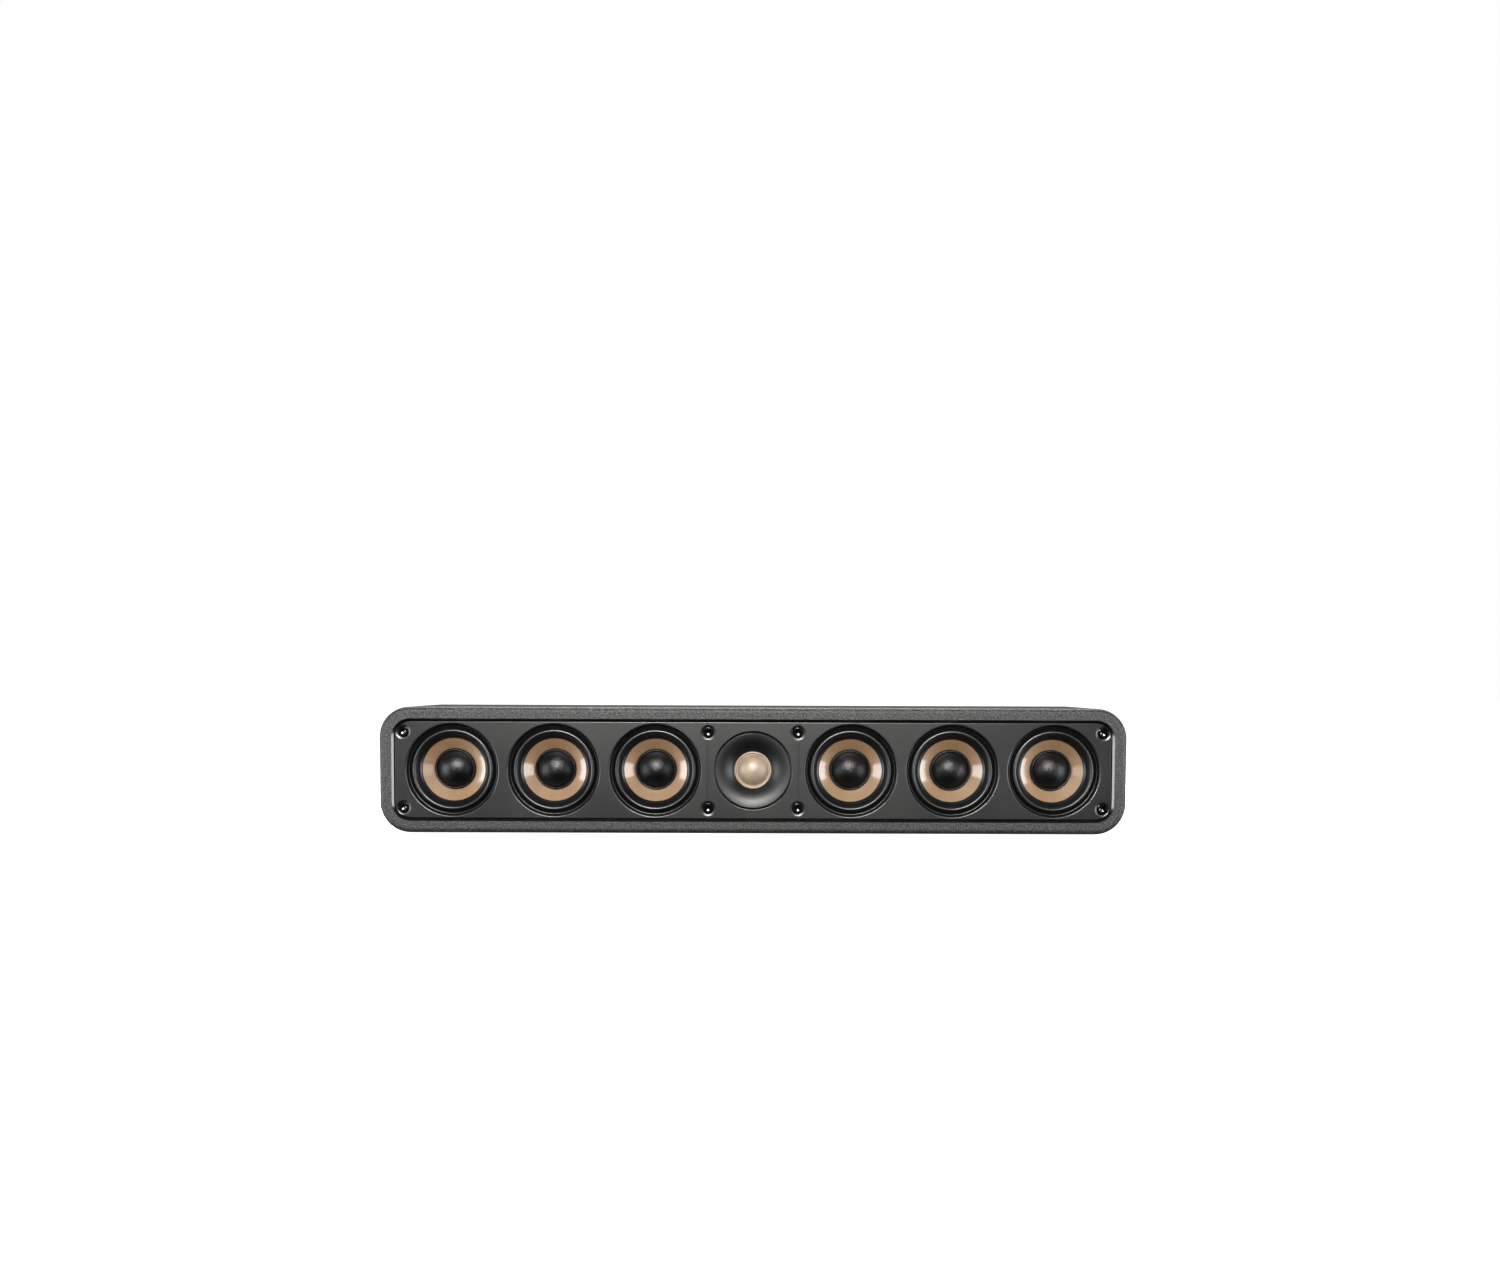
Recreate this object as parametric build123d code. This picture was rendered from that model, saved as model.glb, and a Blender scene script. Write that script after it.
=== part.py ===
from build123d import *
import math
import os

# Center channel speaker: six small woofers in a row with a dome tweeter in the middle.
# Millimetres. The front faces -Y, +X runs along the cabinet and +Z is up.
# Every piece is drawn in the drivers' frame: x and z from the middle of the cabinet, and
# y as the depth behind the front of the trim panels. The last lines place it on its feet.

# Woofer, from its axis outwards
POLE_RADIUS = 9.2
COIL_GAP = 0.4
FORMER_WALL = 0.3
WINDING_THICKNESS = 0.5
DUST_CAP_RADIUS = 17.1
DUST_CAP_FOOT = 0.7
DUST_CAP_BEAD = 1.4
CONE_RADIUS = 25.9
LAND_WIDTH = 2.0
ROLL_WIDTH = 6.5
RIM_WIDTH = 2.4
FLANGE_LAND = 2.2
MAGNET_RING = 16.5
PLATE_INSET = 3.0
FLANGE_CORNER = 14.0

# Woofer, from the front backwards
RIM_DEPTH = 1.6
CONE_EDGE_DEPTH = 9.6
CONE_DEPTH = 11.0
CONE_WALL = 0.9
SURROUND_WALL = 0.7
DUST_CAP_WALL = 0.6
DUST_CAP_RISE = 7.0
DUST_CAP_SKIRT = 1.0
DUST_CAP_FOOT_EDGE = 0.2
DUST_CAP_FOOT_SLOPE = 14.0
FLANGE_THICKNESS = 3.0
BASKET_WALL = 1.8
SPIDER_DROP = 2.0
SPIDER_WALL = 0.6
SPIDER_WAVE = 0.7
SPIDER_WAVES = 5
SPIDER_SPAN = 12.3
SPIDER_RIM = 3.0
NECK_HEIGHT = 5.0
BASKET_WINDOWS = 6
WINDOW_WIDTH = 19.0
TOP_PLATE = 4.0
MAGNET_THICKNESS = 10.0
BACK_PLATE = 5.0
WINDING_OVERHANG = 1.6

# Tweeter
DOME_RADIUS = 12.7
DOME_RISE = 6.0
DOME_CREASE = 0.7
DOME_ROLL = 2.2
DOME_RIM = 1.9
DOME_WALL = 0.4
WAVEGUIDE_WIDTH = 14.8
WAVEGUIDE_DEPTH = 6.5
WAVEGUIDE_BOW = 1.6
MOUTH_SET_BACK = 0.8
MOUTH_LIP = 0.6
THROAT_WALL = 1.4
TWEETER_FLANGE_LAND = 3.0
TWEETER_FLANGE_CORNER = 12.0
TWEETER_MAGNET_WALL = 14.0
TWEETER_MAGNET_THICKNESS = 8.0
TWEETER_PLATE = 3.0
TWEETER_PLATE_INSET = 2.0
VENT_RADIUS = 4.0
CHAMBER_DEPTH = 20.0
CHAMBER_WALL = 2.0

# Trim panels in the recess of the baffle
PANEL_THICKNESS = 4.0
PANEL_RECESS = 2.0
PANEL_MARGIN = 0.85
PANEL_GAP = 0.4
PANEL_CORNER = 13.2
PANEL_ROUND = 0.9
SEAM_GAP = 0.25
SEAM_STRIP = 1.4
SEAM_GROOVE_DEPTH = 1.0
SEAM_MARGIN = 4.4
TWEETER_MARGIN = 2.7
END_MARGIN = 8.2
HOLE_REVEAL = 0.5
HOLE_ROUND = 1.4
TWEETER_REVEAL = 0.8
TWEETER_ROUND = 0.8

# Trim panel screws
PANEL_SCREW_INSET = 7.1
PANEL_SCREW_HEIGHT = 31.1
COUNTERBORE_RADIUS = 4.8
COUNTERBORE_DEPTH = 3.2
SEAT_BEVEL = 1.5
SEAT_BEVEL_DEPTH = 0.45
SCREW_HEAD_RADIUS = 4.3
SCREW_HEAD_HEIGHT = 1.7
SCREW_HEAD_ROUND = 0.6
SCREW_SHANK_RADIUS = 1.75
SCREW_BITE = 7.0
SOCKET_FLATS = 4.4
SOCKET_DEPTH = 0.9
SOCKET_POINT = 0.6

# Countersunk screws, for the drivers and for the back
SMALL_HEAD_RADIUS = 2.8
SMALL_SHANK_RADIUS = 1.4
SMALL_HEAD_RIM = 0.2
SMALL_SCREW_LENGTH = 7.5
CROSS_LENGTH = 3.2
CROSS_WIDTH = 0.7
CROSS_DEPTH = 0.8

# Cabinet
CABINET_DEPTH = 140.0
FRAME_BORDER = 11.25
FRAME_END = 11.75
CORNER_RADIUS = 25.0
FRONT_ROUND = 4.0
RECESS_CORNER = 13.6
RECESS_EDGE = 1.7
BAFFLE_THICKNESS = 18.0
WALL = 10.0
REAR_EDGE = 1.0
REAR_INSET = 1.5
REAR_THICKNESS = 12.0
WOOFER_SPACING = 5.0
FIT = 0.15

# Rubber feet
FOOT_RADIUS = 9.0
FOOT_HEIGHT = 1.0
FOOT_END_INSET = 40.0
FOOT_EDGE_INSET = 24.0

# Ports in the rear panel
PORT_RADIUS = 17.0
PORT_WALL = 2.0
PORT_FLARE = 8.0
PORT_LENGTH = 58.0
PORT_LIP = 3.0

# Terminal cup and binding posts
CUP_WIDTH = 72.0
CUP_HEIGHT = 48.0
CUP_CORNER = 6.0
CUP_DEPTH = 20.0
CUP_WALL = 2.5
CUP_FLANGE = 6.0
POST_SPACING = 24.0
POST_RADIUS = 3.2
PLUG_RADIUS = 2.0
PLUG_DEPTH = 15.0
COLLAR_RADIUS = 7.0
COLLAR_THICKNESS = 3.0
POST_LENGTH = 16.5
POST_TAIL = 6.0
NUT_FLATS = 9.0
NUT_THICKNESS = 2.5
KNOB_RADIUS = 6.6
KNOB_LENGTH = 13.5
KNOB_FLUTES = 16
FLUTE_RADIUS = 0.8
KNOB_EDGE = 0.8
RUNNING_GAP = 0.3

# Keyhole hangers
HANGER_HEIGHT = 20.0
HANGER_LENGTH = 44.0
HANGER_WIDTH = 22.0
HANGER_CORNER = 3.0
HANGER_THICKNESS = 1.5
HANGER_SCREW_X = 17.0
KEYHOLE_RADIUS = 4.5
KEYHOLE_SLOT = 5.0
KEYHOLE_DROP = 4.0
KEYHOLE_RISE = 6.0
KEYHOLE_POCKET = 8.0
POCKET_MARGIN = 1.0

# Crossover
BOARD_LENGTH = 108.0
BOARD_HEIGHT = 60.0
BOARD_THICKNESS = 1.6
BOARD_GAP = 8.0
BOARD_CLEARANCE = 20.0
SPACER_RADIUS = 3.5
SPACER_INSET = 5.0
COIL_OUTER = 12.0
COIL_INNER = 5.0
COIL_HEIGHT = 14.0
COIL_COUNT = 3
CAPACITOR_RADIUS = 7.0
CAPACITOR_LENGTH = 28.0
CAPACITOR_COUNT = 3

# Sizes that follow from those above
former_inner = POLE_RADIUS + COIL_GAP
former_outer = former_inner + FORMER_WALL
winding_outer = former_outer + WINDING_THICKNESS
plate_bore = winding_outer + COIL_GAP
magnet_bore = plate_bore + PLATE_INSET
magnet_radius = magnet_bore + MAGNET_RING
plate_radius = magnet_radius - PLATE_INSET
cone_slope = CONE_DEPTH / (CONE_RADIUS - former_outer)
roll_inner = CONE_RADIUS + LAND_WIDTH
roll_outer = roll_inner + ROLL_WIDTH
rim_outer = roll_outer + RIM_WIDTH
woofer_flange = 2 * (rim_outer + FLANGE_LAND)
flange_bore = roll_outer - SURROUND_WALL
basket_radius = rim_outer - SURROUND_WALL
flange_back = PANEL_THICKNESS + FLANGE_THICKNESS
rim_seat = PANEL_THICKNESS + RIM_DEPTH
cone_neck_depth = CONE_EDGE_DEPTH + CONE_DEPTH
spider_seat = cone_neck_depth + CONE_WALL + SPIDER_DROP
spider_inner = former_outer + RUNNING_GAP
shelf_inner = spider_inner + SPIDER_SPAN
shelf_outer = shelf_inner + SPIDER_RIM
basket_back = spider_seat + BASKET_WALL + NECK_HEIGHT
magnet_front = basket_back + TOP_PLATE
magnet_back = magnet_front + MAGNET_THICKNESS
panel_hole = rim_outer + HOLE_REVEAL

dome_roll_inner = DOME_RADIUS + DOME_CREASE
throat_radius = dome_roll_inner + DOME_ROLL
mouth_radius = throat_radius + WAVEGUIDE_WIDTH
faceplate_radius = mouth_radius + MOUTH_LIP
tweeter_flange = 2 * (faceplate_radius + TWEETER_FLANGE_LAND)
throat_depth = MOUTH_SET_BACK + WAVEGUIDE_DEPTH
faceplate_back = throat_depth + THROAT_WALL
tweeter_motor_front = faceplate_back + DOME_WALL
tweeter_magnet_front = tweeter_motor_front + TWEETER_PLATE
tweeter_magnet_back = tweeter_magnet_front + TWEETER_MAGNET_THICKNESS
tweeter_coil_outer = DOME_RADIUS + DOME_WALL
tweeter_pole = DOME_RADIUS - COIL_GAP
tweeter_bore = tweeter_coil_outer + COIL_GAP
tweeter_magnet_bore = tweeter_bore + TWEETER_PLATE_INSET
tweeter_magnet_radius = tweeter_magnet_bore + TWEETER_MAGNET_WALL
tweeter_plate_radius = tweeter_magnet_radius - TWEETER_PLATE_INSET
tweeter_motor_back = tweeter_magnet_back + TWEETER_PLATE

woofer_pitch = woofer_flange + WOOFER_SPACING
seam_x = tweeter_flange / 2 + TWEETER_MARGIN
first_woofer_x = seam_x + SEAM_MARGIN + woofer_flange / 2
last_woofer_x = first_woofer_x + 2 * woofer_pitch
panels_length = 2 * (last_woofer_x + woofer_flange / 2 + END_MARGIN)
panels_height = woofer_flange + 2 * PANEL_MARGIN
recess_length = panels_length + 2 * PANEL_GAP
recess_height = panels_height + 2 * PANEL_GAP
cabinet_length = recess_length + 2 * FRAME_END
cabinet_height = recess_height + 2 * FRAME_BORDER
panel_screw_x = panels_length / 2 - PANEL_SCREW_INSET
baffle_front = -PANEL_RECESS
baffle_back = baffle_front + BAFFLE_THICKNESS
cabinet_back = baffle_front + CABINET_DEPTH
rear_face = cabinet_back - REAR_INSET
rear_inside = rear_face - REAR_THICKNESS
cup_floor = cabinet_back - CUP_DEPTH
knob_front = cup_floor + COLLAR_THICKNESS + RUNNING_GAP
board_face = rear_inside - BOARD_GAP - BOARD_THICKNESS
board_x = CUP_WIDTH / 2 + BOARD_CLEARANCE + BOARD_LENGTH / 2
port_x = last_woofer_x - woofer_pitch / 2
hanger_x = first_woofer_x + woofer_pitch / 2
feet_x = cabinet_length / 2 - FOOT_END_INSET
feet_front = baffle_front + FOOT_EDGE_INSET
feet_back = cabinet_back - FOOT_EDGE_INSET

woofer_places = [
    side * (first_woofer_x + place * woofer_pitch)
    for side, places in ((-1, (2, 1, 0)), (1, (0, 1, 2)))
    for place in places
]
panel_screw_places = [
    (side * x, top * PANEL_SCREW_HEIGHT)
    for x in (seam_x, panel_screw_x)
    for side in (-1, 1)
    for top in (-1, 1)
]


def slab(outline, front, back):
    """A straight piece with its outline as seen from the front, between two depths."""
    return extrude(Plane.XZ.offset(-back) * outline, back - front)


def turned(*curves):
    """A piece turned about the depth axis, from curves of (radius, depth)."""
    edges = [edge for curve in curves for edge in curve.edges()]
    return revolve(make_face(edges), Axis.Y)


def turned_polygon(*points):
    """A turned piece whose section has only straight sides."""
    return turned(Polyline(*points, close=True))


def at(x, z, piece):
    """A piece moved across the front of the cabinet."""
    return Pos(x, 0, z) * piece


def corners(half_x, half_z):
    """The four corners of a rectangle round the origin."""
    return [(x, z) for x in (-half_x, half_x) for z in (-half_z, half_z)]


def cone_front(radius):
    """Depth of the cone's front face at a radius."""
    return CONE_EDGE_DEPTH + (CONE_RADIUS - radius) * cone_slope


def rounded_hole(radius, edge, back):
    """Cutter for a round hole through the trim panels with a rounded front edge."""
    outer = radius + edge
    middle = edge * (1 - math.sqrt(0.5))
    rounding = ThreePointArc((outer, 0), (radius + middle, middle), (radius, edge))
    wall = Polyline((radius, edge), (radius, back), (0, back), (0, 0), (outer, 0))
    return turned(rounding, wall)


def screw_seat():
    """Cutter for a screw's counterbore with a shallow bevel round its mouth, and the hole below it."""
    shank = SCREW_SHANK_RADIUS + FIT
    return turned_polygon(
        (0, 0),
        (COUNTERBORE_RADIUS + SEAT_BEVEL, 0),
        (COUNTERBORE_RADIUS, SEAT_BEVEL_DEPTH),
        (COUNTERBORE_RADIUS, COUNTERBORE_DEPTH),
        (shank, COUNTERBORE_DEPTH),
        (shank, PANEL_THICKNESS),
        (0, PANEL_THICKNESS),
    )


def small_screw(front):
    """Countersunk cross-head screw with its head flush at a depth."""
    cone = front + SMALL_HEAD_RIM + SMALL_HEAD_RADIUS - SMALL_SHANK_RADIUS
    tip = front + SMALL_SCREW_LENGTH
    screw = turned_polygon(
        (0, front),
        (SMALL_HEAD_RADIUS, front),
        (SMALL_HEAD_RADIUS, front + SMALL_HEAD_RIM),
        (SMALL_SHANK_RADIUS, cone),
        (SMALL_SHANK_RADIUS, tip - SMALL_SHANK_RADIUS),
        (0, tip),
    )
    cross = Rectangle(CROSS_LENGTH, CROSS_WIDTH) + Rectangle(CROSS_WIDTH, CROSS_LENGTH)
    return screw - slab(cross, front, front + CROSS_DEPTH)


def small_screw_hole(front):
    """Cutter for a countersunk screw's hole, a little wider than the screw."""
    head = SMALL_HEAD_RADIUS + FIT
    shank = SMALL_SHANK_RADIUS + FIT
    rim = front + SMALL_HEAD_RIM
    back = front + SMALL_SCREW_LENGTH + FIT
    return turned_polygon(
        (0, front - 1), (head, front - 1), (head, rim), (shank, rim + head - shank), (shank, back), (0, back)
    )


def from_behind(piece, depth):
    """A piece drawn at the front, turned round to face backwards at a depth."""
    return Pos(0, depth, 0) * Rot(0, 0, 180) * piece


def basket():
    """Pressed steel basket: square flange, windowed cone and spider shelf in one piece."""
    square = RectangleRounded(woofer_flange, woofer_flange, FLANGE_CORNER)
    flange = slab(square, PANEL_THICKNESS, flange_back)
    flange -= slab(Circle(rim_outer + FIT), PANEL_THICKNESS, rim_seat)
    flange -= slab(Circle(flange_bore), rim_seat, flange_back)
    shelf_back = spider_seat + BASKET_WALL
    body = turned_polygon(
        (basket_radius, flange_back),
        (shelf_outer + BASKET_WALL, spider_seat),
        (shelf_outer + BASKET_WALL, shelf_back),
        (shelf_inner + BASKET_WALL, shelf_back),
        (shelf_inner + BASKET_WALL, basket_back),
        (magnet_bore, basket_back),
        (magnet_bore, basket_back - BASKET_WALL),
        (shelf_inner, basket_back - BASKET_WALL),
        (shelf_inner, spider_seat),
        (shelf_outer, spider_seat),
        (flange_bore, flange_back),
    )
    window = Pos(basket_radius, (flange_back + spider_seat) / 2, 0) * Box(
        woofer_flange / 2, spider_seat - flange_back - 3 * BASKET_WALL, WINDOW_WIDTH
    )
    for turn in range(BASKET_WINDOWS):
        body -= Rot(0, turn * 360 / BASKET_WINDOWS, 0) * window
    for x, z in driver_screw_corners(woofer_flange, FLANGE_CORNER):
        flange -= at(x, z, small_screw_hole(PANEL_THICKNESS))
    return flange + body


def driver_screw_corners(side, corner):
    """Screw places at the rounded corners of a square driver flange."""
    reach = side / 2 - corner + corner / 2
    return corners(reach, reach)


def surround():
    """Rubber surround: a rim on the basket, a half roll and a sloped land on the cone."""
    middle = (roll_inner + roll_outer) / 2
    outer = ROLL_WIDTH / 2
    inner = outer - SURROUND_WALL
    rim_front = rim_seat - SURROUND_WALL
    land_lift = RUNNING_GAP + SURROUND_WALL
    top = roll_inner + SURROUND_WALL
    land_top = cone_front(roll_inner) - land_lift
    land_edge = cone_front(CONE_RADIUS) - land_lift
    foot = Polyline(
        (roll_inner, rim_seat),
        (roll_inner, land_top),
        (CONE_RADIUS, land_edge),
        (CONE_RADIUS, land_edge + SURROUND_WALL),
        (top, cone_front(top) - RUNNING_GAP),
        (top, rim_seat),
    )
    roll_inside = ThreePointArc((top, rim_seat), (middle, rim_seat - inner), (middle + inner, rim_seat))
    rim = Polyline(
        (middle + inner, rim_seat), (rim_outer, rim_seat), (rim_outer, rim_front), (roll_outer, rim_front)
    )
    shoulder = math.sqrt(outer**2 - SURROUND_WALL**2)
    roll_outside = ThreePointArc(
        (middle + shoulder, rim_front), (middle, rim_seat - outer), (roll_inner, rim_seat)
    )
    step = Line((roll_outer, rim_front), (middle + shoulder, rim_front))
    return turned(foot, roll_inside, rim, step, roll_outside)


def cone():
    """Moulded cone, from under the surround's land to its neck on the coil former."""
    lip = roll_inner - FIT
    neck = former_outer + FIT
    return turned_polygon(
        (lip, cone_front(lip)),
        (neck, cone_front(neck)),
        (neck, cone_front(neck) + CONE_WALL),
        (lip, cone_front(lip) + CONE_WALL),
    )


def dust_cap():
    """Domed dust cap with a raised bead, a short skirt and a sloped foot glued on the cone."""
    skirt = DUST_CAP_RADIUS - DUST_CAP_FOOT
    dome = skirt - DUST_CAP_BEAD
    seat = cone_front(DUST_CAP_RADIUS) - FIT
    inner = skirt - DUST_CAP_WALL
    foot_inner = seat - DUST_CAP_FOOT_EDGE + DUST_CAP_FOOT * math.tan(math.radians(DUST_CAP_FOOT_SLOPE))
    valley = foot_inner - DUST_CAP_SKIRT
    apex = valley - DUST_CAP_RISE

    def cap_arc(lift):
        radius = (dome**2 + DUST_CAP_RISE**2) / (2 * DUST_CAP_RISE)
        half = math.asin(dome / radius) / 2
        middle = (radius * math.sin(half), apex + radius * (1 - math.cos(half)) + lift)
        return ThreePointArc((0, apex + lift), middle, (dome, valley + lift))

    def bead_arc(lift):
        end = skirt - lift
        bulge = (end - dome) / 2
        return ThreePointArc(
            (dome, valley + lift), (dome + bulge, valley + lift - bulge), (end, valley + lift)
        )

    edge = Polyline(
        (skirt, valley),
        (skirt, foot_inner),
        (DUST_CAP_RADIUS, seat - DUST_CAP_FOOT_EDGE),
        (DUST_CAP_RADIUS, seat),
        (inner, cone_front(inner) - FIT),
        (inner, valley + DUST_CAP_WALL),
    )
    axis = Line((0, apex), (0, apex + DUST_CAP_WALL))
    return turned(
        cap_arc(0), bead_arc(0), edge, bead_arc(DUST_CAP_WALL), cap_arc(DUST_CAP_WALL), axis
    )


def voice_coil():
    """Coil former with its winding centred in the gap of the top plate."""
    end = magnet_front + WINDING_OVERHANG
    start = basket_back - WINDING_OVERHANG
    return turned_polygon(
        (former_inner, cone_neck_depth - CONE_WALL),
        (former_outer, cone_neck_depth - CONE_WALL),
        (former_outer, start),
        (winding_outer, start),
        (winding_outer, end),
        (former_inner, end),
    )


def spider():
    """Corrugated cloth ring that centres the coil, glued on the basket's shelf."""
    back = spider_seat
    front = back - SPIDER_WALL
    pitch = SPIDER_SPAN / SPIDER_WAVES

    def waves(depth):
        arcs = []
        for wave in range(SPIDER_WAVES):
            start = spider_inner + wave * pitch
            lift = SPIDER_WAVE * (-1) ** wave
            arcs.append(
                ThreePointArc((start, depth), (start + pitch / 2, depth - lift), (start + pitch, depth))
            )
        return arcs

    rim = Polyline(
        (shelf_inner, front), (shelf_outer - FIT, front), (shelf_outer - FIT, back), (shelf_inner, back)
    )
    hub = Line((spider_inner, front), (spider_inner, back))
    return turned(*waves(front), rim, *waves(back), hub)


def woofer_top_plate():
    """Front pole plate, riveted on the back of the basket."""
    return slab(Circle(plate_radius) - Circle(plate_bore), basket_back, magnet_front)


def woofer_magnet():
    """Ferrite ring magnet."""
    return slab(Circle(magnet_radius) - Circle(magnet_bore), magnet_front, magnet_back)


def woofer_yoke():
    """Back plate and centre pole, turned in one piece."""
    return turned_polygon(
        (0, basket_back),
        (POLE_RADIUS, basket_back),
        (POLE_RADIUS, magnet_back),
        (plate_radius, magnet_back),
        (plate_radius, magnet_back + BACK_PLATE),
        (0, magnet_back + BACK_PLATE),
    )


def tweeter_faceplate():
    """Moulded faceplate: a square flange behind the panel and a round waveguide through it."""
    square = RectangleRounded(tweeter_flange, tweeter_flange, TWEETER_FLANGE_CORNER)
    flange = slab(square - Circle(faceplate_radius), PANEL_THICKNESS, flange_back)
    for x, z in driver_screw_corners(tweeter_flange, TWEETER_FLANGE_CORNER):
        flange -= at(x, z, small_screw_hole(PANEL_THICKNESS))
    middle = (throat_radius + mouth_radius) / 2
    bow = (throat_depth + MOUTH_SET_BACK) / 2 - WAVEGUIDE_BOW
    horn = ThreePointArc((mouth_radius, MOUTH_SET_BACK), (middle, bow), (throat_radius, throat_depth))
    body = Polyline(
        (throat_radius, throat_depth),
        (throat_radius, faceplate_back),
        (faceplate_radius, faceplate_back),
        (faceplate_radius, MOUTH_SET_BACK + MOUTH_LIP),
    )
    lip = RadiusArc((faceplate_radius, MOUTH_SET_BACK + MOUTH_LIP), (mouth_radius, MOUTH_SET_BACK), MOUTH_LIP)
    return flange + turned(horn, body, lip)


def tweeter_dome():
    """Dome and roll formed from one thin sheet, with the coil on its back."""
    rim_front = faceplate_back
    rim_back = faceplate_back + DOME_WALL
    apex = rim_front - DOME_RISE
    roll_middle = dome_roll_inner + DOME_ROLL / 2
    roll_radius = DOME_ROLL / 2
    rim_edge = throat_radius + DOME_RIM
    coil_end = tweeter_magnet_front + COIL_GAP
    curve = (DOME_RADIUS**2 + DOME_RISE**2) / (2 * DOME_RISE)
    half = math.asin(DOME_RADIUS / curve) / 2
    rise = curve * math.sin(half)
    drop = curve * (1 - math.cos(half))
    outside = [
        ThreePointArc((0, apex), (rise, apex + drop), (DOME_RADIUS, rim_front)),
        Line((DOME_RADIUS, rim_front), (dome_roll_inner, rim_front)),
        ThreePointArc(
            (dome_roll_inner, rim_front),
            (roll_middle, rim_front - roll_radius),
            (throat_radius, rim_front),
        ),
    ]
    rim = Polyline(
        (throat_radius, rim_front),
        (rim_edge, rim_front),
        (rim_edge, rim_back),
        (throat_radius, rim_back),
    )
    inside = [
        ThreePointArc(
            (throat_radius, rim_back),
            (roll_middle, rim_back - roll_radius),
            (dome_roll_inner, rim_back),
        ),
        Polyline(
            (dome_roll_inner, rim_back),
            (tweeter_coil_outer, rim_back),
            (tweeter_coil_outer, coil_end),
            (DOME_RADIUS, coil_end),
            (DOME_RADIUS, rim_back),
        ),
        ThreePointArc((DOME_RADIUS, rim_back), (rise, apex + drop + DOME_WALL), (0, apex + DOME_WALL)),
        Line((0, apex + DOME_WALL), (0, apex)),
    ]
    return turned(*outside, rim, *inside)


def tweeter_pole_plates():
    """Top plate, and the yoke with its vented pole."""
    top = slab(
        Circle(tweeter_plate_radius) - Circle(tweeter_bore), tweeter_motor_front, tweeter_magnet_front
    )
    yoke = turned_polygon(
        (VENT_RADIUS, tweeter_motor_front),
        (tweeter_pole, tweeter_motor_front),
        (tweeter_pole, tweeter_magnet_back),
        (tweeter_plate_radius, tweeter_magnet_back),
        (tweeter_plate_radius, tweeter_motor_back),
        (VENT_RADIUS, tweeter_motor_back),
    )
    return [top, yoke]


def tweeter_magnet():
    """Ring magnet between the tweeter's plates."""
    ring = Circle(tweeter_magnet_radius) - Circle(tweeter_magnet_bore)
    return slab(ring, tweeter_magnet_front, tweeter_magnet_back)


def tweeter_rear_chamber():
    """Moulded cup that closes the space behind the vented pole."""
    cup = slab(Circle(tweeter_plate_radius), tweeter_motor_back, tweeter_motor_back + CHAMBER_DEPTH)
    hollow = Circle(tweeter_plate_radius - CHAMBER_WALL)
    back = tweeter_motor_back + CHAMBER_DEPTH
    cup = fillet(cup.faces().sort_by(Axis.Y)[-1].edges(), CHAMBER_WALL)
    return cup - slab(hollow, tweeter_motor_back, back - CHAMBER_WALL)


def trim_panel(left, right, holes):
    """One trim panel between two x places, with a rounded outline, driver holes and screw seats."""
    whole = RectangleRounded(panels_length, panels_height, PANEL_CORNER)
    span = Pos((left + right) / 2, 0) * Rectangle(right - left, panels_height)
    plate = slab(whole & span, 0, PANEL_THICKNESS)
    outline = plate.faces().sort_by(Axis.Y)[0].edges()
    plate = fillet([edge for edge in outline if not on_seam(edge)], PANEL_ROUND)
    for x, radius, edge in holes:
        plate -= at(x, 0, rounded_hole(radius, edge, PANEL_THICKNESS))
    reach = COUNTERBORE_RADIUS + SEAT_BEVEL
    for x, z in panel_screw_places:
        if left - reach < x < right + reach:
            plate -= at(x, z, screw_seat())
    return plate


def on_seam(edge):
    """Whether an edge of a trim panel lies along the seam beside the tweeter."""
    return abs(abs(edge.center().X) - seam_x) < SEAM_STRIP + SEAM_GAP


def tweeter_trim_panel():
    """The middle panel, with a fine groove along each side that leaves a strip at the seam."""
    plate = trim_panel(-seam_inner, seam_inner, [tweeter_hole])
    groove = slab(Rectangle(SEAM_GAP, panels_height), 0, SEAM_GROOVE_DEPTH)
    for side in (-1, 1):
        plate -= at(side * (seam_inner - SEAM_STRIP - SEAM_GAP / 2), 0, groove)
    return plate


def panel_screw():
    """Socket screw that holds the trim panels, with its head down in the counterbore."""
    front = COUNTERBORE_DEPTH - SCREW_HEAD_HEIGHT
    tip = PANEL_THICKNESS + SCREW_BITE
    screw = turned_polygon(
        (0, front),
        (SCREW_HEAD_RADIUS, front),
        (SCREW_HEAD_RADIUS, COUNTERBORE_DEPTH),
        (SCREW_SHANK_RADIUS, COUNTERBORE_DEPTH),
        (SCREW_SHANK_RADIUS, tip - SCREW_SHANK_RADIUS),
        (0, tip),
    )
    screw = fillet(screw.faces().sort_by(Axis.Y)[0].edges(), SCREW_HEAD_ROUND)
    socket = RegularPolygon(SOCKET_FLATS / 2, 6, major_radius=False)
    floor = front + SOCKET_DEPTH
    point = turned_polygon((0, floor), (SOCKET_FLATS / 2, floor), (0, floor + SOCKET_POINT))
    return screw - slab(socket, front, floor) - point


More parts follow.
